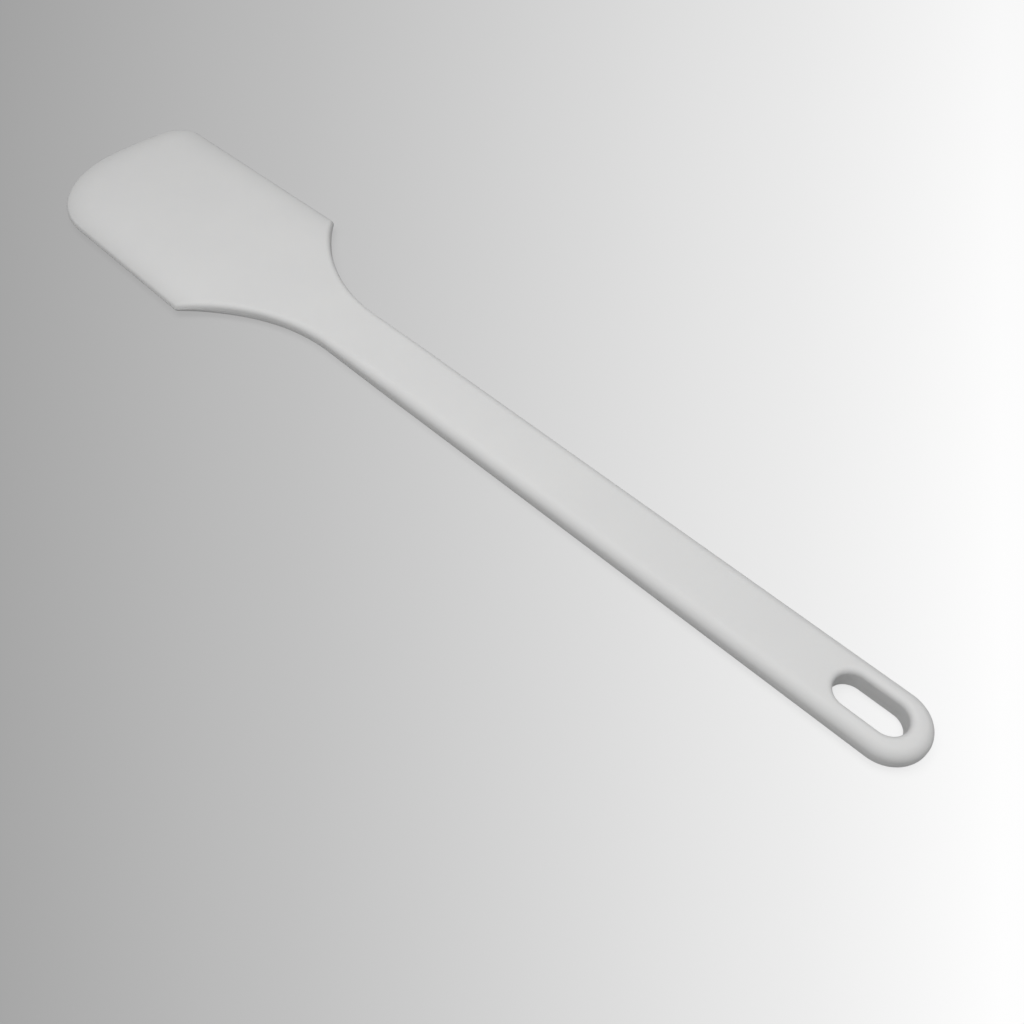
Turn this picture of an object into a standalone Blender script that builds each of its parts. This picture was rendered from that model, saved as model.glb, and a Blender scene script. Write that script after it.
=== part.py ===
# One-piece silicone spatula moulded over a stiff nylon core, with a flexible blade and a hanging slot.
#
# Frame: +X runs from the handle end to the blade tip, +Y is to the left when looking at the tip with the
# large-radius tip corner on the left, +Z is up. The origin is the bottom centre of the bounding box.
# Lengths along X in the plan functions are measured from the handle end.

import math

import bmesh
import bpy
import numpy as np
from mathutils import Matrix, Vector
from mathutils.geometry import delaunay_2d_cdt

for old in list(bpy.data.objects):
    bpy.data.objects.remove(old, do_unlink=True)

# Plan of the silicone moulding
HANDLE_LENGTH = 0.1472          # handle end to the start of the flares
HANDLE_END_RADIUS = 0.00683     # full-round end, half the handle's width there
NECK_WIDTH = 0.01476            # handle width where the flares start
FLARE_RADIUS = 0.0523           # concave flares between the neck and the shoulders
BLADE_LENGTH = 0.0740           # shoulder line to the tip
BLADE_WIDTH = 0.04846
SHOULDER_ROUNDING = 0.0012      # the two shoulder corners, in plan
LARGE_TIP_CORNER = 0.0264       # left tip corner, follows the curve of a bowl
TIGHT_TIP_CORNER = 0.0084       # right tip corner, reaches into corners of a tin
TIP_EDGE_RADIUS = 0.095         # slightly convex tip edge
TIP_APEX_SHIFT = 0.0049         # furthest point of the tip edge, to the right of the centre line

# Thicknesses and edge roundings of the silicone
HANDLE_THICKNESS = 0.0055
ROOT_THICKNESS = 0.0036         # middle of the blade's root
ROOT_LEAD = 0.0180              # the flares have thinned to the root this far before the shoulder line
TIP_THICKNESS = 0.0026          # middle of the tip, before the faces fall to the rim
RIM_THICKNESS = 0.0017          # scraping rim around the sides and the tip of the blade
RIM_SLOPE_WIDTH = 0.0105        # width over which the faces fall to the rim
HANDLE_EDGE_ROUNDING = 0.00245
FLARE_EDGE_ROUNDING = 0.0014    # limited by the half thickness at the rim
NECK_LEAD = 0.0300              # faces start to thin and edges to tighten this far before the flares

# Hanging slot through the handle end
SLOT_END_WALL = 0.0042          # handle end to the slot
SLOT_LENGTH = 0.0132
SLOT_WIDTH = 0.00656
SLOT_RIM_ROUNDING = 0.0012

# Stiffening core
CORE_THICKNESS = 0.0023         # along the handle; through the neck the core thins with the silicone
CORE_SIDE_COVER = 0.0026        # silicone beside the core along the handle
CORE_SLOT_COVER = 0.0040        # silicone between the slot and the core
CORE_PADDLE_WIDTH = 0.0190      # the core widens under the flares
CORE_PADDLE_ROUNDING = 0.0045
CORE_NOSE_ROUNDING = 0.0025
CORE_SHOULDER_LEAD = 0.0045     # the core ends this far before the shoulder line
CORE_EDGE_ROUNDING = 0.0005
KEY_HOLE_DIAMETER = 0.0036      # holes that the silicone bridges through
KEY_HOLE_COUNT = 6
PIN_HOLE_DIAMETER = 0.0030      # holes left under the handle by the pins that hold the core in the mould
PIN_HOLE_COUNT = 3

# Fit between separate solids
CLEARANCE = 0.0003

# Flexing line: close to the core's end, so that almost the whole free length moves with the blade
PIVOT_SHARE = 0.15              # of the free length, from the core's end
KNUCKLE_RATIO = 1.25            # knuckle radius over the half thickness at the flexing line

# Mesh steps
ARC_STEP = math.radians(11.0)
LINE_STEP = 0.0070


def arc(centre, radius, start, end, outward=1, step=ARC_STEP, longest=0.0045):
    """Points and outward normals along an arc; outward is -1 where the material lies outside the circle."""
    count = max(2, math.ceil(abs(end - start) / step), math.ceil(abs(end - start) * radius / longest))
    points = []
    for i in range(count + 1):
        a = start + (end - start) * i / count
        n = (math.cos(a), math.sin(a))
        points.append((centre[0] + radius * n[0], centre[1] + radius * n[1], outward * n[0], outward * n[1]))
    return points


def line(start, end, normal, longest=LINE_STEP):
    """Points strictly between two corners, which the neighbouring arcs supply."""
    length = math.hypot(end[0] - start[0], end[1] - start[1])
    count = max(1, math.ceil(length / longest))
    return [(start[0] + (end[0] - start[0]) * i / count, start[1] + (end[1] - start[1]) * i / count, *normal)
            for i in range(1, count)]


# Construction of the plan outline from tangent lines and arcs
neck_half = NECK_WIDTH / 2
blade_half = BLADE_WIDTH / 2
handle_slope = math.atan2(neck_half - HANDLE_END_RADIUS, HANDLE_LENGTH - HANDLE_END_RADIUS)
line_normal = (-math.sin(handle_slope), math.cos(handle_slope))
end_centre = (HANDLE_END_RADIUS, 0.0)
neck_point = (HANDLE_LENGTH, neck_half)
flare_centre = (neck_point[0] + FLARE_RADIUS * line_normal[0], neck_point[1] + FLARE_RADIUS * line_normal[1])
shoulder_y = blade_half - SHOULDER_ROUNDING
shoulder_centre = (
    flare_centre[0] + math.sqrt((FLARE_RADIUS + SHOULDER_ROUNDING) ** 2 - (flare_centre[1] - shoulder_y) ** 2),
    shoulder_y,
)
shoulder_x = shoulder_centre[0]
overall_length = shoulder_x + BLADE_LENGTH
tip_centre = (overall_length - TIP_EDGE_RADIUS, -TIP_APEX_SHIFT)


def tip_corner_centre(side, radius):
    """Centre of the fillet between a blade side (side is 1 on the left) and the tip edge."""
    y = side * (blade_half - radius)
    return (tip_centre[0] + math.sqrt((TIP_EDGE_RADIUS - radius) ** 2 - (y - tip_centre[1]) ** 2), y)


def direction(start, end):
    return math.atan2(end[1] - start[1], end[0] - start[0])


def mirrored(points):
    """The same points on the other side of the centre line, in the opposite order."""
    return [(x, -y, nx, -ny) for x, y, nx, ny in reversed(points)]


def moulding_outline():
    """Plan outline of the silicone, clockwise from the handle end over the left side to the tip and back."""
    large = tip_corner_centre(1, LARGE_TIP_CORNER)
    tight = tip_corner_centre(-1, TIGHT_TIP_CORNER)
    end = arc(end_centre, HANDLE_END_RADIUS, math.pi, math.pi / 2 + handle_slope)
    handle = line(end[-1][:2], neck_point, line_normal)
    flare = arc(flare_centre, FLARE_RADIUS, handle_slope - math.pi / 2,
                direction(flare_centre, shoulder_centre), outward=-1)
    shoulder = arc(shoulder_centre, SHOULDER_ROUNDING, direction(shoulder_centre, flare_centre), math.pi / 2)
    left_half = end + handle + flare + shoulder[1:]
    left_side = line((shoulder_x, blade_half), (large[0], blade_half), (0.0, 1.0))
    large_arc = arc(large, LARGE_TIP_CORNER, math.pi / 2, direction(tip_centre, large))
    tip_arc = arc(tip_centre, TIP_EDGE_RADIUS, direction(tip_centre, large), direction(tip_centre, tight))
    tight_arc = arc(tight, TIGHT_TIP_CORNER, direction(tip_centre, tight), -math.pi / 2, longest=0.0022)
    right_side = line((tight[0], -blade_half), (shoulder_x, -blade_half), (0.0, -1.0))
    return left_half + left_side + large_arc + tip_arc[1:-1] + tight_arc + right_side + mirrored(left_half)[:-1]


def blade_rim():
    """The blade's sides and tip alone, with the sides carried on past the handle end."""
    outline = moulding_outline()
    rim = [p for p in outline if p[0] > shoulder_x + 1e-6 or abs(abs(p[1]) - blade_half) < 1e-7]
    first = (-0.05, blade_half, 0.0, 1.0)
    last = (-0.05, -blade_half, 0.0, -1.0)
    return [first] + rim + [last]


def stadium(start, end, radius):
    """A slot with round ends along the centre line; the normals point into the slot."""
    left = arc((start + radius, 0.0), radius, 1.5 * math.pi, 0.5 * math.pi, outward=-1, longest=0.0016)
    right = arc((end - radius, 0.0), radius, 0.5 * math.pi, -0.5 * math.pi, outward=-1, longest=0.0016)
    top = line(left[-1][:2], right[0][:2], (0.0, -1.0), longest=0.0025)
    bottom = line(right[-1][:2], left[0][:2], (0.0, 1.0), longest=0.0025)
    return left + top + right + bottom


def distance(points, chain, closed=True):
    """Shortest distance from each point to a chain of segments."""
    p = np.asarray(points, float)[:, None, :2]
    a = np.asarray([q[:2] for q in chain], float)
    b = np.roll(a, -1, axis=0)
    if not closed:
        a, b = a[:-1], b[:-1]
    ab = b - a
    t = np.clip(((p - a) * ab).sum(2) / np.maximum((ab ** 2).sum(1), 1e-18), 0.0, 1.0)
    return np.linalg.norm(p - (a + t[..., None] * ab), axis=2).min(1)


def inside(points, loop):
    """Even-odd test of each point against a closed loop."""
    p = np.asarray(points, float)
    a = np.asarray([q[:2] for q in loop], float)
    b = np.roll(a, -1, axis=0)
    x, y = p[:, 0:1], p[:, 1:2]
    crosses = (a[:, 1] > y) != (b[:, 1] > y)
    rise = np.where(np.abs(b[:, 1] - a[:, 1]) < 1e-15, 1e-15, b[:, 1] - a[:, 1])
    hits = crosses & (x < a[:, 0] + (y - a[:, 1]) * (b[:, 0] - a[:, 0]) / rise)
    return hits.sum(1) % 2 == 1


def edge_drop(dist, radius):
    """How far a rounded edge lies below the face, at a distance in from the outline."""
    d = np.minimum(dist + 0.03 * radius, radius)
    return radius - np.sqrt(np.maximum(radius ** 2 - (radius - d) ** 2, 0.0))


def plate(name, outer, holes, height, offsets, lines=()):
    """Closed solid between z = height and z = -height over a plan with holes.

    offsets gives, for a point of an outline, the distances of the rows that follow its rounded edge."""
    coords = []
    edges = []

    def add_chain(chain, closed=True):
        first = len(coords)
        coords.extend(chain)
        count = len(chain)
        edges.extend((first + i, first + (i + 1) % count) for i in range(count if closed else count - 1))

    loops = [outer] + list(holes)
    for loop in loops:
        add_chain([(x, y) for x, y, nx, ny in loop])
    rows = max(len(offsets(p, k)) for k, loop in enumerate(loops) for p in loop)
    for k, loop in enumerate(loops):
        for row in range(rows):
            wanted = [(p, offsets(p, k)) for p in loop]
            wanted = [(p, d[row]) for p, d in wanted if len(d) > row]
            if not wanted:
                continue
            moved = [(p[0] - d * p[2], p[1] - d * p[3]) for p, d in wanted]
            room = distance(moved, loop)
            others = [distance(moved, other) for j, other in enumerate(loops) if j != k]
            free = np.min(others or [np.ones(len(moved))], axis=0)
            chain = []
            for point, (p, d), own, other in zip(moved, wanted, room, free):
                crowded = chain and math.dist(point, chain[-1]) < 0.0002
                if own < 0.96 * d or other < d + 0.0003 or crowded:
                    continue
                if chain and math.dist(point, chain[-1]) > 1.5 * d + 1.3 * LINE_STEP:
                    add_chain(chain, closed=False)
                    chain = []
                chain.append(point)
            if len(chain) > 1:
                whole = len(wanted) == len(loop) and math.dist(chain[0], chain[-1]) < 1.3 * LINE_STEP
                add_chain(chain, closed=whole)
    for chain in lines:
        add_chain(chain, closed=False)

    plan = delaunay_2d_cdt([Vector((x * 1000, y * 1000)) for x, y in coords], edges, [], 0, 1e-5)
    points = np.array([(v.x / 1000, v.y / 1000) for v in plan[0]])
    triangles = np.array([f for f in plan[2]])
    middle = points[triangles].mean(axis=1)
    keep = inside(middle, outer)
    for hole in holes:
        keep &= ~inside(middle, hole)
    triangles = triangles[keep]
    used = sorted(set(triangles.ravel().tolist()))
    heights = dict(zip(used, height(points[used])))

    mesh = bmesh.new()
    top = {i: mesh.verts.new((points[i][0], points[i][1], heights[i])) for i in used}
    bottom = {i: mesh.verts.new((points[i][0], points[i][1], -heights[i])) for i in used}
    seen = {}
    for a, b, c in triangles.tolist():
        mesh.faces.new((top[a], top[b], top[c]))
        mesh.faces.new((bottom[c], bottom[b], bottom[a]))
        for i, j in ((a, b), (b, c), (c, a)):
            seen[(i, j)] = True
    for i, j in list(seen):
        if (j, i) not in seen:
            mesh.faces.new((top[j], top[i], bottom[i], bottom[j]))
    bmesh.ops.recalc_face_normals(mesh, faces=mesh.faces)
    data = bpy.data.meshes.new(name)
    mesh.to_mesh(data)
    mesh.free()
    return data


# The silicone moulding as one height over its plan
root_x = shoulder_x - ROOT_LEAD
thinning_x = HANDLE_LENGTH - NECK_LEAD


def face_half(x):
    """Half thickness between the faces: even along the handle, thinner through the neck, then less to the tip."""
    flare = np.clip((x - thinning_x) / (root_x - thinning_x), 0.0, 1.0)
    blade = np.clip((x - root_x) / (overall_length - root_x), 0.0, 1.0)
    root_loss = (HANDLE_THICKNESS - ROOT_THICKNESS) * flare ** 2 * (3 - 2 * flare)
    return (HANDLE_THICKNESS - root_loss - (ROOT_THICKNESS - TIP_THICKNESS) * blade) / 2


def edge_rounding(x):
    """Rounding of the long edges, which tightens where the faces thin."""
    share = np.clip((x - thinning_x) / (root_x - thinning_x), 0.0, 1.0)
    return HANDLE_EDGE_ROUNDING + share * (FLARE_EDGE_ROUNDING - HANDLE_EDGE_ROUNDING)


outline = moulding_outline()
rim = blade_rim()
slot = stadium(SLOT_END_WALL, SLOT_END_WALL + SLOT_LENGTH, SLOT_WIDTH / 2)


def rim_height(points):
    """Half thickness between the faces where they fall to the thin rim of the blade."""
    share = np.clip(distance(points, rim, closed=False) / RIM_SLOPE_WIDTH, 0.0, 1.0)
    half = face_half(points[:, 0])
    return RIM_THICKNESS / 2 + (half - RIM_THICKNESS / 2) * share * (2 - share)


def moulding_height(points):
    half = rim_height(points)
    radius = np.minimum(edge_rounding(points[:, 0]), half)
    drop = edge_drop(distance(points, outline), radius)
    slot_drop = edge_drop(distance(points, slot), SLOT_RIM_ROUNDING)
    return half - drop - slot_drop


def moulding_rows(point, loop):
    """Row distances: along rounded edges by their radius, along the blade also over the sloping rim."""
    if loop == 1:
        return [SLOT_RIM_ROUNDING * k for k in (0.16, 0.5, 1.0)]
    if point[0] < shoulder_x + 1e-6 and abs(point[1]) < blade_half - 1e-7:
        radius = float(edge_rounding(point[0]))
        return [radius * k for k in (0.07, 0.25, 0.55, 1.0)]
    return [RIM_THICKNESS * k for k in (0.07, 0.25, 0.6)] + [RIM_SLOPE_WIDTH * k for k in (0.3, 0.6, 1.0)]


def cross_line(x, half_width, step=0.004):
    count = max(2, math.ceil(2 * half_width / step))
    return [(x, half_width - 2 * half_width * i / count) for i in range(count + 1)]


def half_width_at(x):
    """Half width of the moulding on the handle and the flares."""
    if x < HANDLE_LENGTH:
        return HANDLE_END_RADIUS + (x - HANDLE_END_RADIUS) * math.tan(handle_slope)
    return flare_centre[1] - math.sqrt(FLARE_RADIUS ** 2 - (x - flare_centre[0]) ** 2)


def rim_line(side, depth):
    """A row along the sloping rim, carried on from the shoulder line until it meets the flare's edge."""
    y = blade_half - depth
    start = flare_centre[0] + math.sqrt(FLARE_RADIUS ** 2 - (flare_centre[1] - y - FLARE_EDGE_ROUNDING) ** 2)
    count = max(1, math.ceil((shoulder_x - start) / 0.002))
    return [(shoulder_x + (start - shoulder_x) * i / count, side * y) for i in range(count + 1)]


stations = [thinning_x + (root_x - thinning_x) * i / 8 for i in range(9)]
thinning_lines = [cross_line(x, half_width_at(x) - 1.2 * float(edge_rounding(x))) for x in stations]
rim_lines = [rim_line(side, RIM_SLOPE_WIDTH * k) for side in (1, -1) for k in (0.6, 1.0)]


# The stiffening core
core_start = SLOT_END_WALL + SLOT_LENGTH + CORE_SLOT_COVER
core_end = shoulder_x - CORE_SHOULDER_LEAD
core_half = HANDLE_END_RADIUS - CORE_SIDE_COVER
paddle_half = CORE_PADDLE_WIDTH / 2


def rounded_polygon(corners, grow):
    """Clockwise outline through corners given as x, y and rounding, moved outward by grow."""
    result = []
    count = len(corners)
    for i in range(count):
        before, here, after = corners[i - 1], corners[i], corners[(i + 1) % count]
        into = direction(before, here)
        out = direction(here, after)
        turn = (into - out + math.pi) % (2 * math.pi) - math.pi
        radius = here[2]
        if abs(turn) < 1e-6:
            continue
        reach = radius * math.tan(abs(turn) / 2)
        start = (here[0] - reach * math.cos(into), here[1] - reach * math.sin(into))
        side = 1 if turn > 0 else -1
        centre = (start[0] + side * radius * math.sin(into), start[1] - side * radius * math.cos(into))
        first = into + side * math.pi / 2
        size = radius + side * grow
        result += arc(centre, size, first, first - turn, outward=side, longest=0.0035)
    filled = []
    for i, point in enumerate(result):
        after = result[(i + 1) % len(result)]
        filled.append(point)
        filled += line(point[:2], after[:2], point[2:], longest=LINE_STEP)
    return filled


def core_outline(grow):
    side = [
        (core_start, core_half, CORE_NOSE_ROUNDING),
        (HANDLE_LENGTH, core_half, 4 * CORE_NOSE_ROUNDING),
        (core_end, paddle_half, CORE_PADDLE_ROUNDING),
    ]
    return rounded_polygon(side + [(x, -y, r) for x, y, r in reversed(side)], grow)


def spread(count, start, end):
    return [start + (end - start) * (i + 0.5) / count for i in range(count)]


key_positions = spread(KEY_HOLE_COUNT, core_start, core_end)
pin_positions = [(key_positions[i] + key_positions[i + 1]) / 2
                 for i in (round(v) for v in spread(PIN_HOLE_COUNT, -0.5, KEY_HOLE_COUNT - 1.5))]


def round_hole(x, radius):
    return arc((x, 0.0), radius, math.pi, -math.pi, outward=-1, step=math.radians(30))[:-1]


def core_plate(name, grow):
    """The core, or with grow its cavity in the silicone: larger outside, smaller in its holes."""
    outer = core_outline(grow)
    holes = [round_hole(x, KEY_HOLE_DIAMETER / 2 - grow) for x in key_positions]
    radius = CORE_EDGE_ROUNDING + grow

    def height(points):
        half = CORE_THICKNESS / HANDLE_THICKNESS * face_half(points[:, 0]) + grow
        return half - edge_drop(distance(points, outer), radius)

    def rows(point, loop):
        return [radius * k for k in (0.3, 1.0)] if loop == 0 else []

    lines = [cross_line(x, core_half) for x in stations if x < core_end - CORE_PADDLE_ROUNDING]
    return plate(name, outer, holes, height, rows, lines)


# Flexing line, knuckle and trough
pivot_x = core_end + PIVOT_SHARE * (overall_length - core_end)
pivot_half = float(face_half(pivot_x))
knuckle_radius = pivot_half * KNUCKLE_RATIO


def nose_prism(name, radius):
    """Everything beyond the flexing line, with a half-round nose about it, across the whole width."""
    reach = overall_length - pivot_x + 0.01
    steps = 16
    profile = [(radius * math.cos(a), radius * math.sin(a))
               for a in (math.pi / 2 + math.pi * i / steps for i in range(steps + 1))]
    profile += [(reach, -radius), (reach, radius)]
    width = blade_half + 0.01
    mesh = bmesh.new()
    loop = [mesh.verts.new((x, -width, z)) for x, z in profile]
    face = mesh.faces.new(loop)
    moved = bmesh.ops.extrude_face_region(mesh, geom=[face])["geom"]
    for vert in (g for g in moved if isinstance(g, bmesh.types.BMVert)):
        vert.co.y = width
    bmesh.ops.recalc_face_normals(mesh, faces=mesh.faces)
    data = bpy.data.meshes.new(name)
    mesh.to_mesh(data)
    mesh.free()
    return data


def pin_cylinder(name):
    """A pin hole from below the handle up to the middle of the core's cavity."""
    mesh = bmesh.new()
    depth = HANDLE_THICKNESS
    bmesh.ops.create_cone(mesh, cap_ends=True, segments=16, radius1=PIN_HOLE_DIAMETER / 2,
                          radius2=PIN_HOLE_DIAMETER / 2, depth=depth)
    for vert in mesh.verts:
        vert.co.z -= depth / 2
    data = bpy.data.meshes.new(name)
    mesh.to_mesh(data)
    mesh.free()
    return data


# Objects
def material(name, colour, roughness):
    made = bpy.data.materials.new(name)
    made.use_nodes = True
    shader = made.node_tree.nodes["Principled BSDF"]
    shader.inputs["Base Color"].default_value = (*colour, 1.0)
    shader.inputs["Roughness"].default_value = roughness
    shader.inputs["Metallic"].default_value = 0.0
    return made


def place(name, data, parent, location, look=None):
    made = bpy.data.objects.new(name, data)
    bpy.context.scene.collection.objects.link(made)
    made.parent = parent
    made.location = location
    if look is None:
        made.hide_render = True
        made.display_type = "WIRE"
    else:
        data.materials.append(look)
        data.shade_smooth()
        data.set_sharp_from_angle(angle=math.radians(40))
    return made


def cut(target, tool, operation="DIFFERENCE"):
    step = target.modifiers.new(f"{operation.lower()}_{tool.name}", "BOOLEAN")
    step.operation = operation
    step.solver = "EXACT"
    step.object = tool


handle_silicone = material("silicone_handle_white", (0.68, 0.68, 0.67), 0.55)
blade_silicone = material("silicone_blade_white", (0.68, 0.68, 0.67), 0.55)
core_nylon = material("nylon_natural", (0.74, 0.72, 0.66), 0.45)

root = bpy.data.objects.new("spatula", None)
bpy.context.scene.collection.objects.link(root)
root.location = (-overall_length / 2, 0.0, HANDLE_THICKNESS / 2)
flex_axis = bpy.data.objects.new("flex_axis", None)
bpy.context.scene.collection.objects.link(flex_axis)
flex_axis.parent = root
flex_axis.location = (pivot_x, 0.0, 0.0)

moulding = plate("moulding", outline, [slot], moulding_height, moulding_rows,
                 thinning_lines + rim_lines)
sleeve = place("silicone_sleeve", moulding.copy(), root, (0, 0, 0), handle_silicone)
moulding.transform(Matrix.Translation((-pivot_x, 0.0, 0.0)))
blade = place("silicone_blade", moulding, flex_axis, (0, 0, 0), blade_silicone)
core = place("stiffening_core", core_plate("core", 0.0), root, (0, 0, 0), core_nylon)

blade_tool = place("blade_nose", nose_prism("blade_nose", knuckle_radius), flex_axis, (0, 0, 0))
trough_tool = place("trough_nose", nose_prism("trough_nose", knuckle_radius + CLEARANCE), flex_axis, (0, 0, 0))
cavity_tool = place("core_cavity", core_plate("core_cavity", CLEARANCE), root, (0, 0, 0))
cut(blade, blade_tool, "INTERSECT")
cut(sleeve, trough_tool)
cut(sleeve, cavity_tool)
for number, pin_x in enumerate(pin_positions, 1):
    pin_tool = place(f"pin_hole_{number}", pin_cylinder(f"pin_hole_{number}"), root, (pin_x, 0, 0))
    cut(sleeve, pin_tool)

print(f"overall length {overall_length * 1000:.2f} mm, shoulders at {shoulder_x * 1000:.2f} mm, "
      f"flexing line at {pivot_x * 1000:.2f} mm from the handle end, "
      f"{(pivot_x - overall_length / 2) * 1000:.3f} mm in the frame, knuckle radius {knuckle_radius * 1000:.3f} mm")
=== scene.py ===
# White one-piece silicone spatula, moulded over a nylon core, on a backdrop that fades from grey to white

import math

import bmesh
import bpy
import numpy as np
from mathutils import Matrix, Vector
from mathutils.geometry import delaunay_2d_cdt


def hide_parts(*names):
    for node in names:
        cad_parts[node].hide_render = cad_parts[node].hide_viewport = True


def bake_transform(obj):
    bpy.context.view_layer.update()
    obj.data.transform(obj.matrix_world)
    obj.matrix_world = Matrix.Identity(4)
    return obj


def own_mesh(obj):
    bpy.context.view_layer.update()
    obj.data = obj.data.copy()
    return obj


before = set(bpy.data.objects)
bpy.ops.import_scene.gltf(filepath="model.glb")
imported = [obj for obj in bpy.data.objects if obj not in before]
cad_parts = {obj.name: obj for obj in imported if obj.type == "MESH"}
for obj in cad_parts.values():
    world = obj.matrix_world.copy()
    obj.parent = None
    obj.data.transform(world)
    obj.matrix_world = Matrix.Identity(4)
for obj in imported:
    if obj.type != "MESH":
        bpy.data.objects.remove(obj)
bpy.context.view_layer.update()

# Plan of the moulding, in metres from the handle end
HANDLE_LENGTH = 0.1472
HANDLE_END_RADIUS = 0.00683
NECK_WIDTH = 0.01476
FLARE_RADIUS = 0.0523
BLADE_LENGTH = 0.0740
BLADE_WIDTH = 0.04846
SHOULDER_ROUNDING = 0.0012
LARGE_TIP_CORNER = 0.0264
TIGHT_TIP_CORNER = 0.0084
TIP_EDGE_RADIUS = 0.095
TIP_APEX_SHIFT = 0.0049
SLOT_END_WALL = 0.0042
SLOT_LENGTH = 0.0132
SLOT_WIDTH = 0.00656

# Thicknesses and roundings of the moulding
HANDLE_THICKNESS = 0.0055
ROOT_THICKNESS = 0.0036
ROOT_LEAD = 0.0180
TIP_THICKNESS = 0.0026
RIM_THICKNESS = 0.0017
RIM_SLOPE_WIDTH = 0.0105
HANDLE_EDGE_ROUNDING = 0.00245
FLARE_EDGE_ROUNDING = 0.0014
NECK_LEAD = 0.0300
SLOT_RIM_ROUNDING = 0.0012

# Pin holes under the handle, whose reach is a share of its thickness, and the fit around the core
PIN_HOLE_DIAMETER = 0.0030
PIN_RIM_ROUNDING = 0.0005
PIN_HOLE_COUNT = 3
FIRST_PIN_HOLE = 0.0481
PIN_HOLE_SPACING = 0.05335
PIN_HOLE_REACH = 0.45
PIN_HOLE_LEAD = 0.0006
PIN_HOLE_SIDES = 40
PIN_RIM_STEPS = 6
CLEARANCE = 0.0003

# Fineness of the skin's mesh: the widest turn along an arc, the rows along the edges, and the grid
WIDEST_TURN = math.radians(7.0)
SLOT_RIM_ROWS = 7
HANDLE_EDGE_ROWS = 10
BLADE_EDGE_ROWS = 6
RIM_SLOPE_ROWS = 14
GRID_STEP = 0.0019
GRID_LEAD = 0.0008

# Where a row along an edge is left out or broken off, so that rows neither cross nor crowd
OWN_EDGE_SHARE = 0.97
OTHER_EDGE_LEAD = 0.00005
CLOSEST_POINTS = 0.00012
WIDEST_GAP = 0.0026

# An edge's quarter circle is cut short at this share of its radius, which leaves a low wall at the border
WALL_SHARE = 0.997

# Angle between faces above which an edge stays sharp
SHARP_ANGLE = math.radians(42)

# Camera of the photograph, in the part's frame
CAMERA_PLACE = (-0.128004, 0.085672, 0.141253)
CAMERA_RIGHT = (-0.70351247, -0.71010621, -0.02862473)
CAMERA_UP = (0.54514117, -0.56504397, 0.61931125)
CAMERA_BACK = (-0.45595099, 0.42008867, 0.78462361)
CAMERA_LENS = 31.713

# Where the backdrop's printed fade fans out from, its two directions on the card, and how wide it fans
FADE_CENTRE = (-0.2523, 0.2145, 0.0)
FADE_ACROSS = (-0.7035, -0.7101, 0.0)
FADE_ALONG = (0.4560, -0.4201, 0.0)
FADE_SPREAD = 0.5676
FADE_NEAREST = 0.115

# Tones of the fade: its darkest grey, the rise and the share of the fan for each step, and the steps
FADE_GREY = 0xa7
FADE_RISE = 8.8
FADE_STEP = 0.0977
FADE_STEPS = 10

# Share of what is seen of the card that is the print itself, and half of the card's side
PRINTED_SHARE = 0.83
CARD_HALF = 3

# Painted shade on thin silicone: the half thickness at which the colour is darkest and at which it is full
# white again, the power of the curve between them, and the share of the tone that is left where it is darkest
THIN_HALF = 0.0006
FULL_HALF = 0.0018
THIN_CURVE = 3.0
PAINTED_SHADE_TONE = 0.64

# Strength of the room's light, and the soft box: its place, where it points, its side and its power in watts
ROOM_STRENGTH = 0.23
BOX_PLACE = (-0.065, 0.09, 0.52)
BOX_AIM = (-0.065, 0.0, 0.0)
BOX_SIDE = 0.42
BOX_POWER = 2.52


def linear(colour):
    """A colour written as #rrggbb in sRGB, as linear values with alpha."""
    parts = [int(colour[i:i + 2], 16) / 255 for i in (1, 3, 5)]
    return (*[c / 12.92 if c <= 0.04045 else ((c + 0.055) / 1.055) ** 2.4 for c in parts], 1.0)


def add(tree, kind, inputs=None, **settings):
    """A node with its settings. An input takes a value, a socket, or a node for that node's first socket."""
    node = tree.nodes.new(kind)
    for name, value in settings.items():
        setattr(node, name, value)
    for key, value in (inputs or {}).items():
        if isinstance(value, bpy.types.Node):
            value = value.outputs[0]
        if isinstance(value, bpy.types.NodeSocket):
            tree.links.new(value, node.inputs[key])
        else:
            node.inputs[key].default_value = value
    return node


# Camera
camera_data = bpy.data.cameras.new("camera")
camera_data.lens = CAMERA_LENS
camera_data.sensor_width = 36.0
camera_data.clip_start = 0.005
camera_data.clip_end = 50.0
camera = bpy.data.objects.new("camera", camera_data)
bpy.context.scene.collection.objects.link(camera)
turn = Matrix((CAMERA_RIGHT, CAMERA_UP, CAMERA_BACK)).transposed()
camera.matrix_world = Matrix.Translation(CAMERA_PLACE) @ turn.to_4x4()
bpy.context.scene.camera = camera
bpy.context.scene.view_settings.view_transform = "Standard"


# Plan of the moulding from tangent lines and arcs
def arc(centre, radius, start, end, spacing, outward=1):
    """Points and outward normals along an arc; outward is -1 where the material lies outside the circle."""
    by_length = math.ceil(abs(end - start) * radius / spacing)
    by_turn = math.ceil(abs(end - start) / WIDEST_TURN)
    count = max(3, by_length, by_turn)
    points = []
    for i in range(count + 1):
        a = start + (end - start) * i / count
        n = (math.cos(a), math.sin(a))
        points.append((centre[0] + radius * n[0], centre[1] + radius * n[1], outward * n[0], outward * n[1]))
    return points


def line(start, end, normal, spacing=0.0016):
    """Points strictly between two corners, which the neighbouring arcs supply."""
    count = max(1, math.ceil(math.dist(start, end) / spacing))
    return [(start[0] + (end[0] - start[0]) * i / count, start[1] + (end[1] - start[1]) * i / count, *normal)
            for i in range(1, count)]


def direction(start, end):
    """Angle of the line from one point to another."""
    return math.atan2(end[1] - start[1], end[0] - start[0])


def mirrored(points):
    """The same points on the other side of the centre line, in the opposite order."""
    return [(x, -y, nx, -ny) for x, y, nx, ny in reversed(points)]


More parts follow.
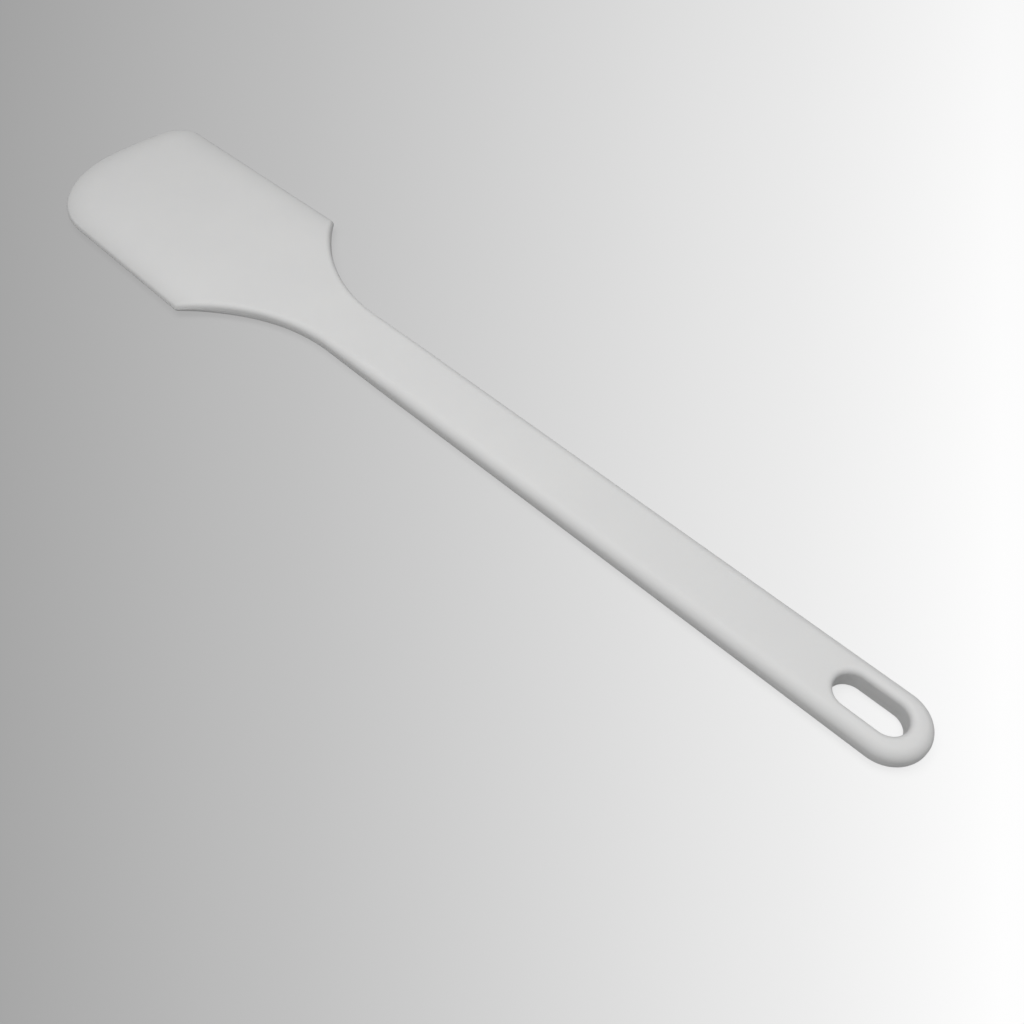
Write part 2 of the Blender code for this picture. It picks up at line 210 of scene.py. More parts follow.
neck_half = NECK_WIDTH / 2
blade_half = BLADE_WIDTH / 2
handle_slope = math.atan2(neck_half - HANDLE_END_RADIUS, HANDLE_LENGTH - HANDLE_END_RADIUS)
line_normal = (-math.sin(handle_slope), math.cos(handle_slope))
end_centre = (HANDLE_END_RADIUS, 0.0)
neck_point = (HANDLE_LENGTH, neck_half)
flare_centre = (neck_point[0] + FLARE_RADIUS * line_normal[0], neck_point[1] + FLARE_RADIUS * line_normal[1])
shoulder_y = blade_half - SHOULDER_ROUNDING
shoulder_x = flare_centre[0] + math.sqrt(
    (FLARE_RADIUS + SHOULDER_ROUNDING) ** 2 - (flare_centre[1] - shoulder_y) ** 2)
overall_length = shoulder_x + BLADE_LENGTH
tip_centre = (overall_length - TIP_EDGE_RADIUS, -TIP_APEX_SHIFT)
root_x = shoulder_x - ROOT_LEAD
thinning_x = HANDLE_LENGTH - NECK_LEAD


def tip_corner_centre(side, radius):
    """Centre of the rounding between a blade side (side is 1 on the left) and the tip edge."""
    y = side * (blade_half - radius)
    return (tip_centre[0] + math.sqrt((TIP_EDGE_RADIUS - radius) ** 2 - (y - tip_centre[1]) ** 2), y)


def moulding_outline():
    """Clockwise from the handle end over the left side to the tip and back."""
    large = tip_corner_centre(1, LARGE_TIP_CORNER)
    tight = tip_corner_centre(-1, TIGHT_TIP_CORNER)
    large_turn = direction(tip_centre, large)
    tight_turn = direction(tip_centre, tight)
    corner = (shoulder_x, shoulder_y)
    end = arc(end_centre, HANDLE_END_RADIUS, math.pi, math.pi / 2 + handle_slope, spacing=0.0006)
    handle = line(end[-1][:2], neck_point, line_normal)
    flare = arc(flare_centre, FLARE_RADIUS, handle_slope - math.pi / 2, direction(flare_centre, corner),
                spacing=0.0012, outward=-1)
    shoulder = arc(corner, SHOULDER_ROUNDING, direction(corner, flare_centre), math.pi / 2, spacing=0.0002)
    left_half = end + handle + flare + shoulder[1:]
    left_side = line((shoulder_x, blade_half), (large[0], blade_half), (0.0, 1.0))
    large_arc = arc(large, LARGE_TIP_CORNER, math.pi / 2, large_turn, spacing=0.0010)
    tip_arc = arc(tip_centre, TIP_EDGE_RADIUS, large_turn, tight_turn, spacing=0.0014)
    tight_arc = arc(tight, TIGHT_TIP_CORNER, tight_turn, -math.pi / 2, spacing=0.0006)
    right_side = line((tight[0], -blade_half), (shoulder_x, -blade_half), (0.0, -1.0))
    tip = large_arc + tip_arc[1:-1] + tight_arc
    return left_half + left_side + tip + right_side + mirrored(left_half)[:-1]


def slot_outline(start, end, radius):
    """The hanging slot with round ends; the normals point into the slot."""
    left = arc((start + radius, 0.0), radius, 1.5 * math.pi, 0.5 * math.pi, spacing=0.0004, outward=-1)
    right = arc((end - radius, 0.0), radius, 0.5 * math.pi, -0.5 * math.pi, spacing=0.0004, outward=-1)
    top = line(left[-1][:2], right[0][:2], (0.0, -1.0), spacing=0.0008)
    bottom = line(right[-1][:2], left[0][:2], (0.0, 1.0), spacing=0.0008)
    return left + top + right + bottom


def distance(points, loop):
    """Shortest distance from each point to a closed loop of segments."""
    a = np.asarray([q[:2] for q in loop], float)
    b = np.roll(a, -1, axis=0)
    ab = b - a
    shortest = []
    for p in np.asarray(points, float)[:, :2]:
        t = np.clip(((p - a) * ab).sum(1) / (ab ** 2).sum(1), 0.0, 1.0)
        shortest.append(np.sqrt((((a + t[:, None] * ab) - p) ** 2).sum(1).min()))
    return np.array(shortest)


def inside(points, loop):
    """Even-odd test of each point against a closed loop."""
    p = np.asarray(points, float)
    a = np.asarray([q[:2] for q in loop], float)
    b = np.roll(a, -1, axis=0)
    x = p[:, 0:1]
    y = p[:, 1:2]
    crosses = (a[:, 1] > y) != (b[:, 1] > y)
    rise = np.where(np.abs(b[:, 1] - a[:, 1]) < 1e-15, 1e-15, b[:, 1] - a[:, 1])
    hits = crosses & (x < a[:, 0] + (y - a[:, 1]) * (b[:, 0] - a[:, 0]) / rise)
    return hits.sum(1) % 2 == 1


def rounded_rows(radius, count):
    """Distances in from an edge whose rows stand at even angles round the rounding."""
    return [radius * (1 - math.cos(math.pi / 2 * k / count)) for k in range(1, count + 1)]


def edge_rounding(x):
    """Radius of the long edges' rounding, which tightens through the neck."""
    share = min(max((x - thinning_x) / (root_x - thinning_x), 0.0), 1.0)
    return HANDLE_EDGE_ROUNDING + share * (FLARE_EDGE_ROUNDING - HANDLE_EDGE_ROUNDING)


def rows_at(point, loop_number):
    """Distances in from the outline at which rows of the plan follow it."""
    if loop_number == 1:
        return rounded_rows(SLOT_RIM_ROUNDING, SLOT_RIM_ROWS)
    if point[0] < shoulder_x + 1e-6 and abs(point[1]) < blade_half - 1e-7:
        return rounded_rows(edge_rounding(point[0]), HANDLE_EDGE_ROWS)
    rim_half = RIM_THICKNESS / 2
    slope = [rim_half + (RIM_SLOPE_WIDTH - rim_half) * k / RIM_SLOPE_ROWS
             for k in range(1, RIM_SLOPE_ROWS + 1)]
    return rounded_rows(rim_half, BLADE_EDGE_ROWS) + slope


def plan_mesh(name, outer, hole):
    """Flat plan with rows along its edges and an even grid between them. Its border edges are marked."""
    coords = []
    edges = []
    loops = [outer, hole]

    def add_chain(chain, closed):
        first = len(coords)
        coords.extend(chain)
        count = len(chain)
        edges.extend((first + i, first + (i + 1) % count) for i in range(count if closed else count - 1))

    for loop in loops:
        add_chain([p[:2] for p in loop], True)
    for number, loop in enumerate(loops):
        wanted = [rows_at(p, number) for p in loop]
        for row in range(max(len(w) for w in wanted)):
            picked = [(p, w[row]) for p, w in zip(loop, wanted) if len(w) > row]
            moved = [(p[0] - d * p[2], p[1] - d * p[3]) for p, d in picked]
            own = distance(moved, loop)
            other = distance(moved, loops[1 - number])
            chain = []
            for point, (p, d), near, far in zip(moved, picked, own, other):
                crowded = chain and math.dist(point, chain[-1]) < CLOSEST_POINTS
                if near < OWN_EDGE_SHARE * d or far < d + OTHER_EDGE_LEAD or crowded:
                    continue
                if chain and math.dist(point, chain[-1]) > 1.5 * d + WIDEST_GAP:
                    add_chain(chain, False)
                    chain = []
                chain.append(point)
            if len(chain) > 1:
                whole = len(picked) == len(loop) and math.dist(chain[0], chain[-1]) < WIDEST_GAP
                add_chain(chain, whole)

    columns = np.arange(GRID_STEP, overall_length, GRID_STEP)
    grid = [(x, y) for x in columns for y in np.arange(-blade_half, blade_half, GRID_STEP)]
    grid = np.array(grid)[inside(grid, outer)]
    from_edge = distance(grid, outer)
    reach = np.where(grid[:, 0] > shoulder_x, RIM_SLOPE_WIDTH, [edge_rounding(x) for x in grid[:, 0]])
    free = (from_edge > reach + GRID_LEAD) & (distance(grid, hole) > SLOT_RIM_ROUNDING + GRID_LEAD)
    free &= ~inside(grid, hole)
    coords.extend(map(tuple, grid[free]))

    # The triangulation works in millimetres, in which its tolerance is a hundred-thousandth
    flat = delaunay_2d_cdt([Vector((x * 1000, y * 1000)) for x, y in coords], edges, [], 0, 1e-5)
    points = np.array([(v.x / 1000, v.y / 1000) for v in flat[0]])
    triangles = np.array([f for f in flat[2]])
    middle = points[triangles].mean(axis=1)
    triangles = triangles[inside(middle, outer) & ~inside(middle, hole)]
    used = sorted(set(triangles.ravel().tolist()))
    index = {old: new for new, old in enumerate(used)}
    data = bpy.data.meshes.new(name)
    faces = [[index[i] for i in t] for t in triangles.tolist()]
    data.from_pydata([(*points[i], 0.0) for i in used], [], faces)

    # A border edge has a face on one side only
    sides = {}
    for face in faces:
        for i in range(3):
            key = tuple(sorted((face[i], face[(i + 1) % 3])))
            sides[key] = sides.get(key, 0) + 1
    spots = np.array([v.co[:2] for v in data.vertices])
    middles = spots[[list(e.vertices) for e in data.edges]].mean(axis=1)
    border = np.array([sides[tuple(sorted(e.vertices))] == 1 for e in data.edges])
    from_slot = np.abs(middles - np.array([SLOT_END_WALL + SLOT_LENGTH / 2, 0.0]))
    in_slot = border & (from_slot[:, 0] < SLOT_LENGTH / 2 + 1e-5) & (from_slot[:, 1] < SLOT_WIDTH / 2 + 1e-5)
    outer_side = border & ~in_slot
    blade_side = outer_side & ((middles[:, 0] > shoulder_x) | (np.abs(middles[:, 1]) > blade_half - 1e-6))
    for mark, values in (("slot_edge", in_slot), ("outer_edge", outer_side), ("blade_rim", blade_side)):
        data.attributes.new(mark, "BOOLEAN", "EDGE").data.foreach_set("value", values)
    return data


# Nodes that raise the plan to the moulding. A Map Range reads from input 1 to 2 and gives from input 3 to 4
SIZES = {
    "Handle thickness": HANDLE_THICKNESS,
    "Root thickness": ROOT_THICKNESS,
    "Tip thickness": TIP_THICKNESS,
    "Rim thickness": RIM_THICKNESS,
    "Rim slope width": RIM_SLOPE_WIDTH,
    "Handle edge rounding": HANDLE_EDGE_ROUNDING,
    "Flare edge rounding": FLARE_EDGE_ROUNDING,
    "Slot rim rounding": SLOT_RIM_ROUNDING,
    "Blade width": BLADE_WIDTH,
    "Thinning line": thinning_x,
    "Root line": root_x,
    "Tip line": overall_length,
    "First pin hole": FIRST_PIN_HOLE,
    "Pin hole spacing": PIN_HOLE_SPACING,
    "Core clearance": CLEARANCE,
    "Handle end": -overall_length / 2,
}


def moulding_tree():
    """Raises the plan by its thickness rule, closes it, and takes out the core's space and the pin holes."""
    tree = bpy.data.node_groups.new("silicone_moulding", "GeometryNodeTree")
    tree.interface.new_socket("Plan", in_out="INPUT", socket_type="NodeSocketGeometry")
    for name in SIZES:
        tree.interface.new_socket(name, in_out="INPUT", socket_type="NodeSocketFloat")
    tree.interface.new_socket("Pin hole count", in_out="INPUT", socket_type="NodeSocketInt")
    tree.interface.new_socket("Core", in_out="INPUT", socket_type="NodeSocketObject")
    tree.interface.new_socket("Pin hole", in_out="INPUT", socket_type="NodeSocketObject")
    tree.interface.new_socket("Silicone", in_out="INPUT", socket_type="NodeSocketMaterial")
    tree.interface.new_socket("Moulding", in_out="OUTPUT", socket_type="NodeSocketGeometry")
    size = add(tree, "NodeGroupInput").outputs
    place = add(tree, "ShaderNodeSeparateXYZ", {0: add(tree, "GeometryNodeInputPosition")})

    # Distances of each point of the plan to the edges
    nearest = {}
    for mark in ("slot_edge", "outer_edge", "blade_rim"):
        marked = add(tree, "GeometryNodeInputNamedAttribute", {"Name": mark}, data_type="BOOLEAN")
        chosen = add(tree, "GeometryNodeSeparateGeometry", {0: size["Plan"], 1: marked}, domain="EDGE")
        near = add(tree, "GeometryNodeProximity", {0: chosen}, target_element="EDGES")
        nearest[mark] = near.outputs["Distance"]
    blade_edge = add(tree, "ShaderNodeMath", {0: size["Blade width"], 1: 0.5}, operation="MULTIPLY")
    off_line = add(tree, "ShaderNodeMath", {0: place.outputs["Y"]}, operation="ABSOLUTE")
    from_side = add(tree, "ShaderNodeMath", {0: blade_edge, 1: off_line}, operation="SUBTRACT")
    from_rim = add(tree, "ShaderNodeMath", {0: nearest["blade_rim"], 1: from_side}, operation="MINIMUM")

    # Faces: even along the handle, thinning through the neck to the tip, and falling to the blade's rim
    handle_half = add(tree, "ShaderNodeMath", {0: size["Handle thickness"], 1: 0.5}, operation="MULTIPLY")
    thinner = add(tree, "ShaderNodeMapRange",
                  {0: place.outputs["X"], 1: size["Thinning line"], 2: size["Root line"],
                   3: size["Handle thickness"], 4: size["Root thickness"]},
                  interpolation_type="SMOOTHSTEP")
    tip_loss = add(tree, "ShaderNodeMath", {0: size["Root thickness"], 1: size["Tip thickness"]},
                   operation="SUBTRACT")
    lost = add(tree, "ShaderNodeMapRange",
               {0: place.outputs["X"], 1: size["Root line"], 2: size["Tip line"], 3: 0.0, 4: tip_loss})
    full = add(tree, "ShaderNodeMath", {0: thinner, 1: lost}, operation="SUBTRACT")
    face = add(tree, "ShaderNodeMath", {0: full, 1: 0.5}, operation="MULTIPLY")
    rim_half = add(tree, "ShaderNodeMath", {0: size["Rim thickness"], 1: 0.5}, operation="MULTIPLY")
    off_rim = add(tree, "ShaderNodeMapRange",
                  {0: from_rim, 1: 0.0, 2: size["Rim slope width"], 3: 1.0, 4: 0.0})
    fall = add(tree, "ShaderNodeMath", {0: off_rim, 1: off_rim}, operation="MULTIPLY")
    half = add(tree, "ShaderNodeMapRange", {0: fall, 1: 0.0, 2: 1.0, 3: face, 4: rim_half})

    # Rounded edges, each a quarter circle in from its border
    edge = add(tree, "ShaderNodeMapRange",
               {0: place.outputs["X"], 1: size["Thinning line"], 2: size["Root line"],
                3: size["Handle edge rounding"], 4: size["Flare edge rounding"]})
    outer_radius = add(tree, "ShaderNodeMath", {0: edge, 1: half}, operation="MINIMUM")
    height = half
    slot_radius = size["Slot rim rounding"]
    for near, radius in ((nearest["outer_edge"], outer_radius), (nearest["slot_edge"], slot_radius)):
        lead = add(tree, "ShaderNodeMath", {0: radius, 1: WALL_SHARE}, operation="MULTIPLY")
        left = add(tree, "ShaderNodeMath", {0: lead, 1: near}, operation="SUBTRACT")
        left = add(tree, "ShaderNodeMath", {0: left, 1: 0.0}, operation="MAXIMUM")
        left_square = add(tree, "ShaderNodeMath", {0: left, 1: left}, operation="MULTIPLY")
        square = add(tree, "ShaderNodeMath", {0: radius, 1: radius}, operation="MULTIPLY")
        rest = add(tree, "ShaderNodeMath", {0: square, 1: left_square}, operation="SUBTRACT")
        rise = add(tree, "ShaderNodeMath", {0: rest}, operation="SQRT")
        drop = add(tree, "ShaderNodeMath", {0: radius, 1: rise}, operation="SUBTRACT")
        height = add(tree, "ShaderNodeMath", {0: height, 1: drop}, operation="SUBTRACT")
    kept = add(tree, "GeometryNodeStoreNamedAttribute",
               {0: size["Plan"], "Name": "half_thickness", "Value": height},
               data_type="FLOAT", domain="POINT")

    # Top and wall from the raised plan, underside from the turned one
    stored = add(tree, "GeometryNodeInputNamedAttribute", {"Name": "half_thickness"}, data_type="FLOAT")
    raised = add(tree, "GeometryNodeExtrudeMesh",
                 {"Mesh": kept, "Offset": (0.0, 0.0, 0.001), "Individual": False}, mode="FACES")
    side = add(tree, "ShaderNodeMapRange", {0: raised.outputs["Top"], 1: 0.0, 2: 1.0, 3: -1.0, 4: 1.0})
    level = add(tree, "ShaderNodeMath", {0: side, 1: stored}, operation="MULTIPLY")
    level = add(tree, "ShaderNodeMath", {0: level, 1: handle_half}, operation="ADD")
    along = add(tree, "ShaderNodeMath", {0: place.outputs["X"], 1: size["Handle end"]}, operation="ADD")
    spot = add(tree, "ShaderNodeCombineXYZ", {0: along, 1: place.outputs["Y"], 2: level})
    top = add(tree, "GeometryNodeSetPosition", {0: raised, "Position": spot})
    under_level = add(tree, "ShaderNodeMath", {0: handle_half, 1: stored}, operation="SUBTRACT")
    under_spot = add(tree, "ShaderNodeCombineXYZ", {0: along, 1: place.outputs["Y"], 2: under_level})
    turned = add(tree, "GeometryNodeFlipFaces", {0: kept})
    under = add(tree, "GeometryNodeSetPosition", {0: turned, "Position": under_spot})
    shell = add(tree, "GeometryNodeJoinGeometry", {0: top})
    tree.links.new(under.outputs[0], shell.inputs[0])
    closed = add(tree, "GeometryNodeMergeByDistance", {0: shell, "Distance": 0.000001})

    # Space for the core, and the pin holes in a row under the handle
    core = add(tree, "GeometryNodeObjectInfo", {"Object": size["Core"]})
    core_merged = add(tree, "GeometryNodeMergeByDistance",
                      {0: core.outputs["Geometry"], "Distance": 0.000002})
    grow = add(tree, "ShaderNodeVectorMath",
               {0: add(tree, "GeometryNodeInputNormal"), "Scale": size["Core clearance"]}, operation="SCALE")
    space = add(tree, "GeometryNodeSetPosition", {0: core_merged, "Offset": grow})
    first = add(tree, "ShaderNodeMath", {0: size["First pin hole"], 1: size["Handle end"]}, operation="ADD")
    start = add(tree, "ShaderNodeCombineXYZ", {0: first})
    apart = add(tree, "ShaderNodeCombineXYZ", {0: size["Pin hole spacing"]})
    row = add(tree, "GeometryNodeMeshLine",
              {"Count": size["Pin hole count"], "Start Location": start, "Offset": apart})
    pin = add(tree, "GeometryNodeObjectInfo", {"Object": size["Pin hole"]})
    pins = add(tree, "GeometryNodeInstanceOnPoints", {"Points": row, "Instance": pin.outputs["Geometry"]})
    pins = add(tree, "GeometryNodeRealizeInstances", {0: pins})
    cut = add(tree, "GeometryNodeMeshBoolean", {"Mesh 1": closed, "Mesh 2": space},
              operation="DIFFERENCE", solver="EXACT")
    tree.links.new(pins.outputs[0], cut.inputs["Mesh 2"])

    # Rest position for the finish and rest slope for its painted shade, so that both stay on the surface
    # when the blade bends
    noted = add(tree, "GeometryNodeStoreNamedAttribute",
                {0: cut, "Name": "rest_place", "Value": add(tree, "GeometryNodeInputPosition")},
                data_type="FLOAT_VECTOR", domain="POINT")
    facing = add(tree, "ShaderNodeSeparateXYZ", {0: add(tree, "GeometryNodeInputNormal")}).outputs["Z"]
    noted = add(tree, "GeometryNodeStoreNamedAttribute", {0: noted, "Name": "rest_facing", "Value": facing},
                data_type="FLOAT", domain="POINT")
    smooth = add(tree, "GeometryNodeSetShadeSmooth", {0: noted})
    whole = add(tree, "GeometryNodeRealizeInstances", {0: smooth})
    dressed = add(tree, "GeometryNodeSetMaterial", {0: whole, "Material": size["Silicone"]})
    add(tree, "NodeGroupOutput", {0: dressed})
    return tree


def pin_hole_tool(depth):
    """A round hole from below the underside, with a rounded rim where it opens."""
    radius = PIN_HOLE_DIAMETER / 2
    profile = [(radius + PIN_RIM_ROUNDING, -PIN_HOLE_LEAD)]
    for k in range(PIN_RIM_STEPS, -1, -1):
        a = math.pi / 2 * k / PIN_RIM_STEPS
        profile.append((radius + PIN_RIM_ROUNDING * (1 - math.cos(a)), PIN_RIM_ROUNDING * (1 - math.sin(a))))
    profile.append((radius, depth))
    mesh = bmesh.new()
    rings = []
    for r, z in profile:
        turns = [math.tau * k / PIN_HOLE_SIDES for k in range(PIN_HOLE_SIDES)]
        rings.append([mesh.verts.new((r * math.cos(a), r * math.sin(a), z)) for a in turns])
    for low, high in zip(rings, rings[1:]):
        for k in range(PIN_HOLE_SIDES):
            after = (k + 1) % PIN_HOLE_SIDES
            mesh.faces.new((low[k], low[after], high[after], high[k]))
    mesh.faces.new(reversed(rings[0]))
    mesh.faces.new(rings[-1])
    bmesh.ops.recalc_face_normals(mesh, faces=mesh.faces)
    data = bpy.data.meshes.new("pin_hole_tool")
    mesh.to_mesh(data)
    mesh.free()
    return data


# Finishes
def moulded_silicone():
    """White silicone rubber from a bead-blasted mould: a dry, even, slightly soft white with a fine grain.
    Shade is painted on where the blade is thin.
    """
    made = bpy.data.materials.new("moulded_white_silicone")
    made.use_nodes = True
    tree = made.node_tree
    shader = tree.nodes["Principled BSDF"]
    shader.inputs["IOR"].default_value = 1.41
    shader.inputs["Subsurface Weight"].default_value = 0.12
    shader.inputs["Subsurface Radius"].default_value = (1.0, 0.92, 0.84)
    shader.inputs["Subsurface Scale"].default_value = 0.0012
    rest_place = add(tree, "ShaderNodeAttribute", attribute_name="rest_place", attribute_type="GEOMETRY")
    rest = rest_place.outputs["Vector"]

    # Faint clouding over some 18 mm
    cloud = add(tree, "ShaderNodeTexNoise", {"Vector": rest, "Scale": 55.0, "Detail": 3.0, "Roughness": 0.55})
    tone = add(tree, "ShaderNodeMix", {0: cloud.outputs["Fac"], 6: linear("#d5d5d5"), 7: linear("#dadad9")},
               data_type="RGBA")
    # Painted shade: the faces darken where the silicone is thin, towards the blade's rim and tip. The walls
    # don't
    level = add(tree, "ShaderNodeSeparateXYZ", {0: rest}).outputs["Z"]
    off_middle = add(tree, "ShaderNodeMath", {0: level, 1: HANDLE_THICKNESS / 2}, operation="SUBTRACT")
    off_middle = add(tree, "ShaderNodeMath", {0: off_middle}, operation="ABSOLUTE")
    thin = add(tree, "ShaderNodeMapRange", {0: off_middle, 1: THIN_HALF, 2: FULL_HALF, 3: 1.0, 4: 0.0})
    thin = add(tree, "ShaderNodeMath", {0: thin, 1: THIN_CURVE}, operation="POWER")
    facing = add(tree, "ShaderNodeAttribute", attribute_name="rest_facing", attribute_type="GEOMETRY")
    facing = add(tree, "ShaderNodeMath", {0: facing.outputs["Fac"]}, operation="ABSOLUTE")
    # Painted shade: full on flat faces, none on the walls
    painted_shade_mask = add(tree, "ShaderNodeMath", {0: thin, 1: facing}, operation="MULTIPLY")
    painted_shade_factor = add(tree, "ShaderNodeMapRange", {0: painted_shade_mask, 1: 0.0, 2: 1.0, 3: 1.0, 4: PAINTED_SHADE_TONE})
    shade = add(tree, "ShaderNodeVectorMath", {0: tone.outputs[2], "Scale": painted_shade_factor}, operation="SCALE")
    tree.links.new(shade.outputs[0], shader.inputs["Base Color"])

    # Rubbed and dry patches some 6 mm across
    patch = add(tree, "ShaderNodeTexNoise", {"Vector": rest, "Scale": 160.0, "Detail": 4.0, "Roughness": 0.6})
    dull = add(tree, "ShaderNodeMapRange", {0: patch.outputs["Fac"], 1: 0.3, 2: 0.7, 3: 0.64, 4: 0.76})
    tree.links.new(dull.outputs[0], shader.inputs["Roughness"])

    # Blasted grain, taken to be 0.1 mm on the real mould, is drawn at 0.45 mm so that it shows
    grain = add(tree, "ShaderNodeTexNoise",
                {"Vector": rest, "Scale": 2200.0, "Detail": 2.0, "Roughness": 0.6})
    grain_bump = add(tree, "ShaderNodeBump",
                     {"Height": grain.outputs["Fac"], "Strength": 0.20, "Distance": 0.00005})
    # Faces slightly out of flat, in swells some 11 mm across, as shrinkage over the core may leave them
    sink = add(tree, "ShaderNodeTexNoise", {"Vector": rest, "Scale": 90.0, "Detail": 1.0, "Roughness": 0.4})
    sink_bump = add(tree, "ShaderNodeBump",
                    {"Height": sink.outputs["Fac"], "Strength": 0.5, "Distance": 0.0002,
                     "Normal": grain_bump})
    # Parting line of the two mould halves, assumed, 0.15 mm wide and halfway up the walls
    ridge = add(tree, "ShaderNodeMapRange", {0: off_middle, 1: 0.00003, 2: 0.00012, 3: 1.0, 4: 0.0},
                interpolation_type="SMOOTHSTEP")
    seam_bump = add(tree, "ShaderNodeBump",
                    {"Height": ridge, "Strength": 0.6, "Distance": 0.00005, "Normal": sink_bump})
    tree.links.new(seam_bump.outputs[0], shader.inputs["Normal"])
    return made


def glass_filled_nylon():
    """Natural moulded nylon with short glass fibres: warm grey-white, half matt, with faint flow streaks."""
    made = bpy.data.materials.new("natural_glass_filled_nylon")
    made.use_nodes = True
    tree = made.node_tree
    shader = tree.nodes["Principled BSDF"]
    shader.inputs["IOR"].default_value = 1.53
    shader.inputs["Roughness"].default_value = 0.45
    here = add(tree, "ShaderNodeTexCoord").outputs["Object"]
    # The fibres, taken to be 0.3 mm long, lie along the bar with the flow. They are drawn 0.4 by 2.6 mm
    flow = add(tree, "ShaderNodeMapping", {"Vector": here, "Scale": (0.15, 1.0, 1.0)})
    fibre = add(tree, "ShaderNodeTexNoise",
                {"Vector": flow, "Scale": 2600.0, "Detail": 3.0, "Roughness": 0.6})
    tone = add(tree, "ShaderNodeMix", {0: fibre.outputs["Fac"], 6: linear("#d3cfc3"), 7: linear("#e2dfd5")},
               data_type="RGBA")
    tree.links.new(tone.outputs[2], shader.inputs["Base Color"])
    bump = add(tree, "ShaderNodeBump", {"Height": fibre.outputs["Fac"], "Strength": 0.3, "Distance": 0.00005})
    tree.links.new(bump.outputs[0], shader.inputs["Normal"])
    return made


def backdrop_card():
    """Matt studio card, printed with a tone that fans out from one place and fades from grey to white."""
    made = bpy.data.materials.new("faded_backdrop_card")
    made.use_nodes = True
    tree = made.node_tree
    shader = tree.nodes["Principled BSDF"]
    shader.inputs["Roughness"].default_value = 1.0
    shader.inputs["Specular IOR Level"].default_value = 0.0
    here = add(tree, "ShaderNodeTexCoord").outputs["Object"]
    apart = add(tree, "ShaderNodeVectorMath", {0: here, 1: FADE_CENTRE}, operation="SUBTRACT")
    across = add(tree, "ShaderNodeVectorMath", {0: apart, 1: FADE_ACROSS}, operation="DOT_PRODUCT")
    along = add(tree, "ShaderNodeVectorMath", {0: apart, 1: FADE_ALONG}, operation="DOT_PRODUCT")
    along = add(tree, "ShaderNodeMath", {0: along.outputs["Value"], 1: FADE_NEAREST}, operation="MAXIMUM")
    fan = add(tree, "ShaderNodeMath", {0: across.outputs["Value"], 1: along}, operation="DIVIDE")
    share = add(tree, "ShaderNodeMapRange", {0: fan, 1: -FADE_SPREAD, 2: FADE_SPREAD, 3: 0.0, 4: 1.0})
    ramp = add(tree, "ShaderNodeValToRGB", {0: share})
    elements = ramp.color_ramp.elements
    elements.remove(elements[1])

    def printed_grey(step):
        """Tone of the print after a number of even steps, up to the card's own white."""
        return linear("#" + f"{FADE_GREY + round(FADE_RISE * step):02x}" * 3)

    elements[0].color = printed_grey(0)
    for step in range(1, FADE_STEPS + 1):
        elements.new(FADE_STEP * step).color = printed_grey(step)

    # What is seen directly or in gloss shows the print; the light thrown back on the spatula is one even grey
    seen = add(tree, "ShaderNodeLightPath").outputs
    direct = add(tree, "ShaderNodeMath", {0: seen["Is Camera Ray"], 1: seen["Is Glossy Ray"]},
                 operation="MAXIMUM")
    direct = add(tree, "ShaderNodeMath", {0: direct, 1: seen["Is Transmission Ray"]}, operation="MAXIMUM")
    tone = add(tree, "ShaderNodeMix", {0: direct, 6: linear("#b4b4b4"), 7: ramp.outputs["Color"]},
               data_type="RGBA")
    tree.links.new(tone.outputs[2], shader.inputs["Base Color"])
    # Most of what is seen is the printed tone itself, so the shadow stays light
    part = add(tree, "ShaderNodeMath", {0: direct, 1: PRINTED_SHARE}, operation="MULTIPLY")
    printed = add(tree, "ShaderNodeEmission", {0: ramp.outputs["Color"]})
    both = add(tree, "ShaderNodeMixShader", {0: part, 1: shader.outputs[0], 2: printed})
    tree.links.new(both.outputs[0], tree.nodes["Material Output"].inputs["Surface"])
    return made


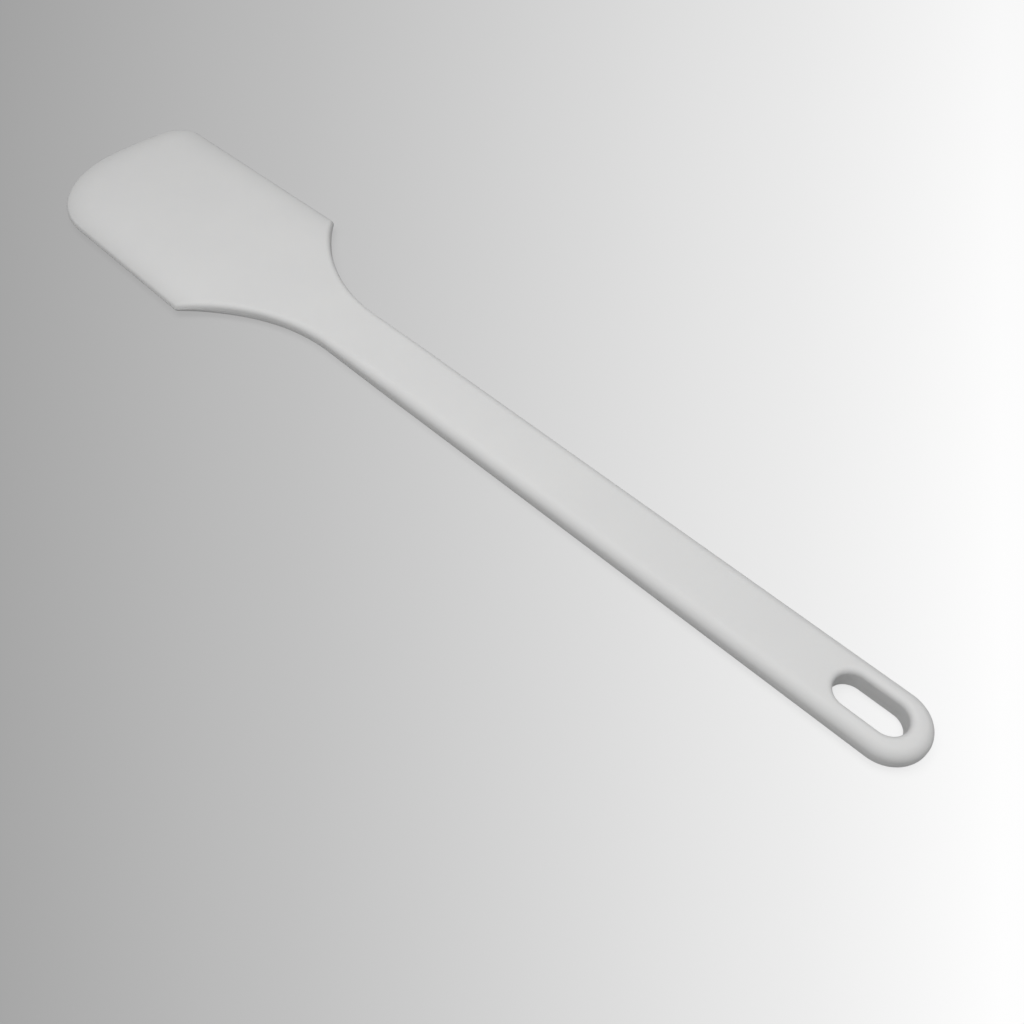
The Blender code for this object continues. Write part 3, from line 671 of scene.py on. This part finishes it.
# The skin: one moulding from the handle end to the blade tip
silicone = moulded_silicone()
outline = moulding_outline()
slot = slot_outline(SLOT_END_WALL, SLOT_END_WALL + SLOT_LENGTH, SLOT_WIDTH / 2)
skin = bpy.data.objects.new("silicone_moulding", plan_mesh("silicone_moulding", outline, slot))
bpy.context.scene.collection.objects.link(skin)
pin_tool = bpy.data.objects.new("pin_hole_tool", pin_hole_tool(HANDLE_THICKNESS * PIN_HOLE_REACH))
bpy.context.scene.collection.objects.link(pin_tool)

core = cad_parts["stiffening_core"]
tree = moulding_tree()
raising = skin.modifiers.new("silicone_moulding", "NODES")
raising.node_group = tree
given = dict(SIZES, **{"Pin hole count": PIN_HOLE_COUNT, "Core": core, "Pin hole": pin_tool,
                       "Silicone": silicone})
for item in tree.interface.items_tree:
    if item.in_out == "INPUT" and item.name in given:
        raising[item.identifier] = given[item.name]
finished = bpy.data.meshes.new_from_object(skin.evaluated_get(bpy.context.evaluated_depsgraph_get()))
skin.modifiers.remove(raising)
skin.data = finished
finished.set_sharp_from_angle(angle=SHARP_ANGLE)
bpy.data.objects.remove(pin_tool)

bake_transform(skin)
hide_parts("silicone_sleeve", "silicone_blade")

core.data.materials.clear()
core.data.materials.append(glass_filled_nylon())

# Floor
floor_data = bpy.data.meshes.new("floor")
floor_corners = [(-CARD_HALF, -CARD_HALF, 0), (CARD_HALF, -CARD_HALF, 0),
                 (CARD_HALF, CARD_HALF, 0), (-CARD_HALF, CARD_HALF, 0)]
floor_data.from_pydata(floor_corners, [], [(0, 1, 2, 3)])
floor_data.materials.append(backdrop_card())
floor = bpy.data.objects.new("floor", floor_data)
bpy.context.scene.collection.objects.link(floor)
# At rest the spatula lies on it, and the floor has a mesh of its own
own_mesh(floor)

# Light: an even pale room and a soft box close over the handle, so that the blade's tip is a little darker
world = bpy.data.worlds.new("pale_room")
world.use_nodes = True
world.node_tree.nodes["Background"].inputs["Color"].default_value = linear("#f4f4f4")
world.node_tree.nodes["Background"].inputs["Strength"].default_value = ROOM_STRENGTH
bpy.context.scene.world = world

box_data = bpy.data.lights.new("overhead_box", "AREA")
box_data.shape = "SQUARE"
box_data.size = BOX_SIDE
box_data.energy = BOX_POWER
box = bpy.data.objects.new("overhead_box", box_data)
bpy.context.scene.collection.objects.link(box)
box.location = BOX_PLACE
box.rotation_mode = "QUATERNION"
box.rotation_quaternion = (Vector(BOX_AIM) - Vector(BOX_PLACE)).to_track_quat("-Z", "Y")
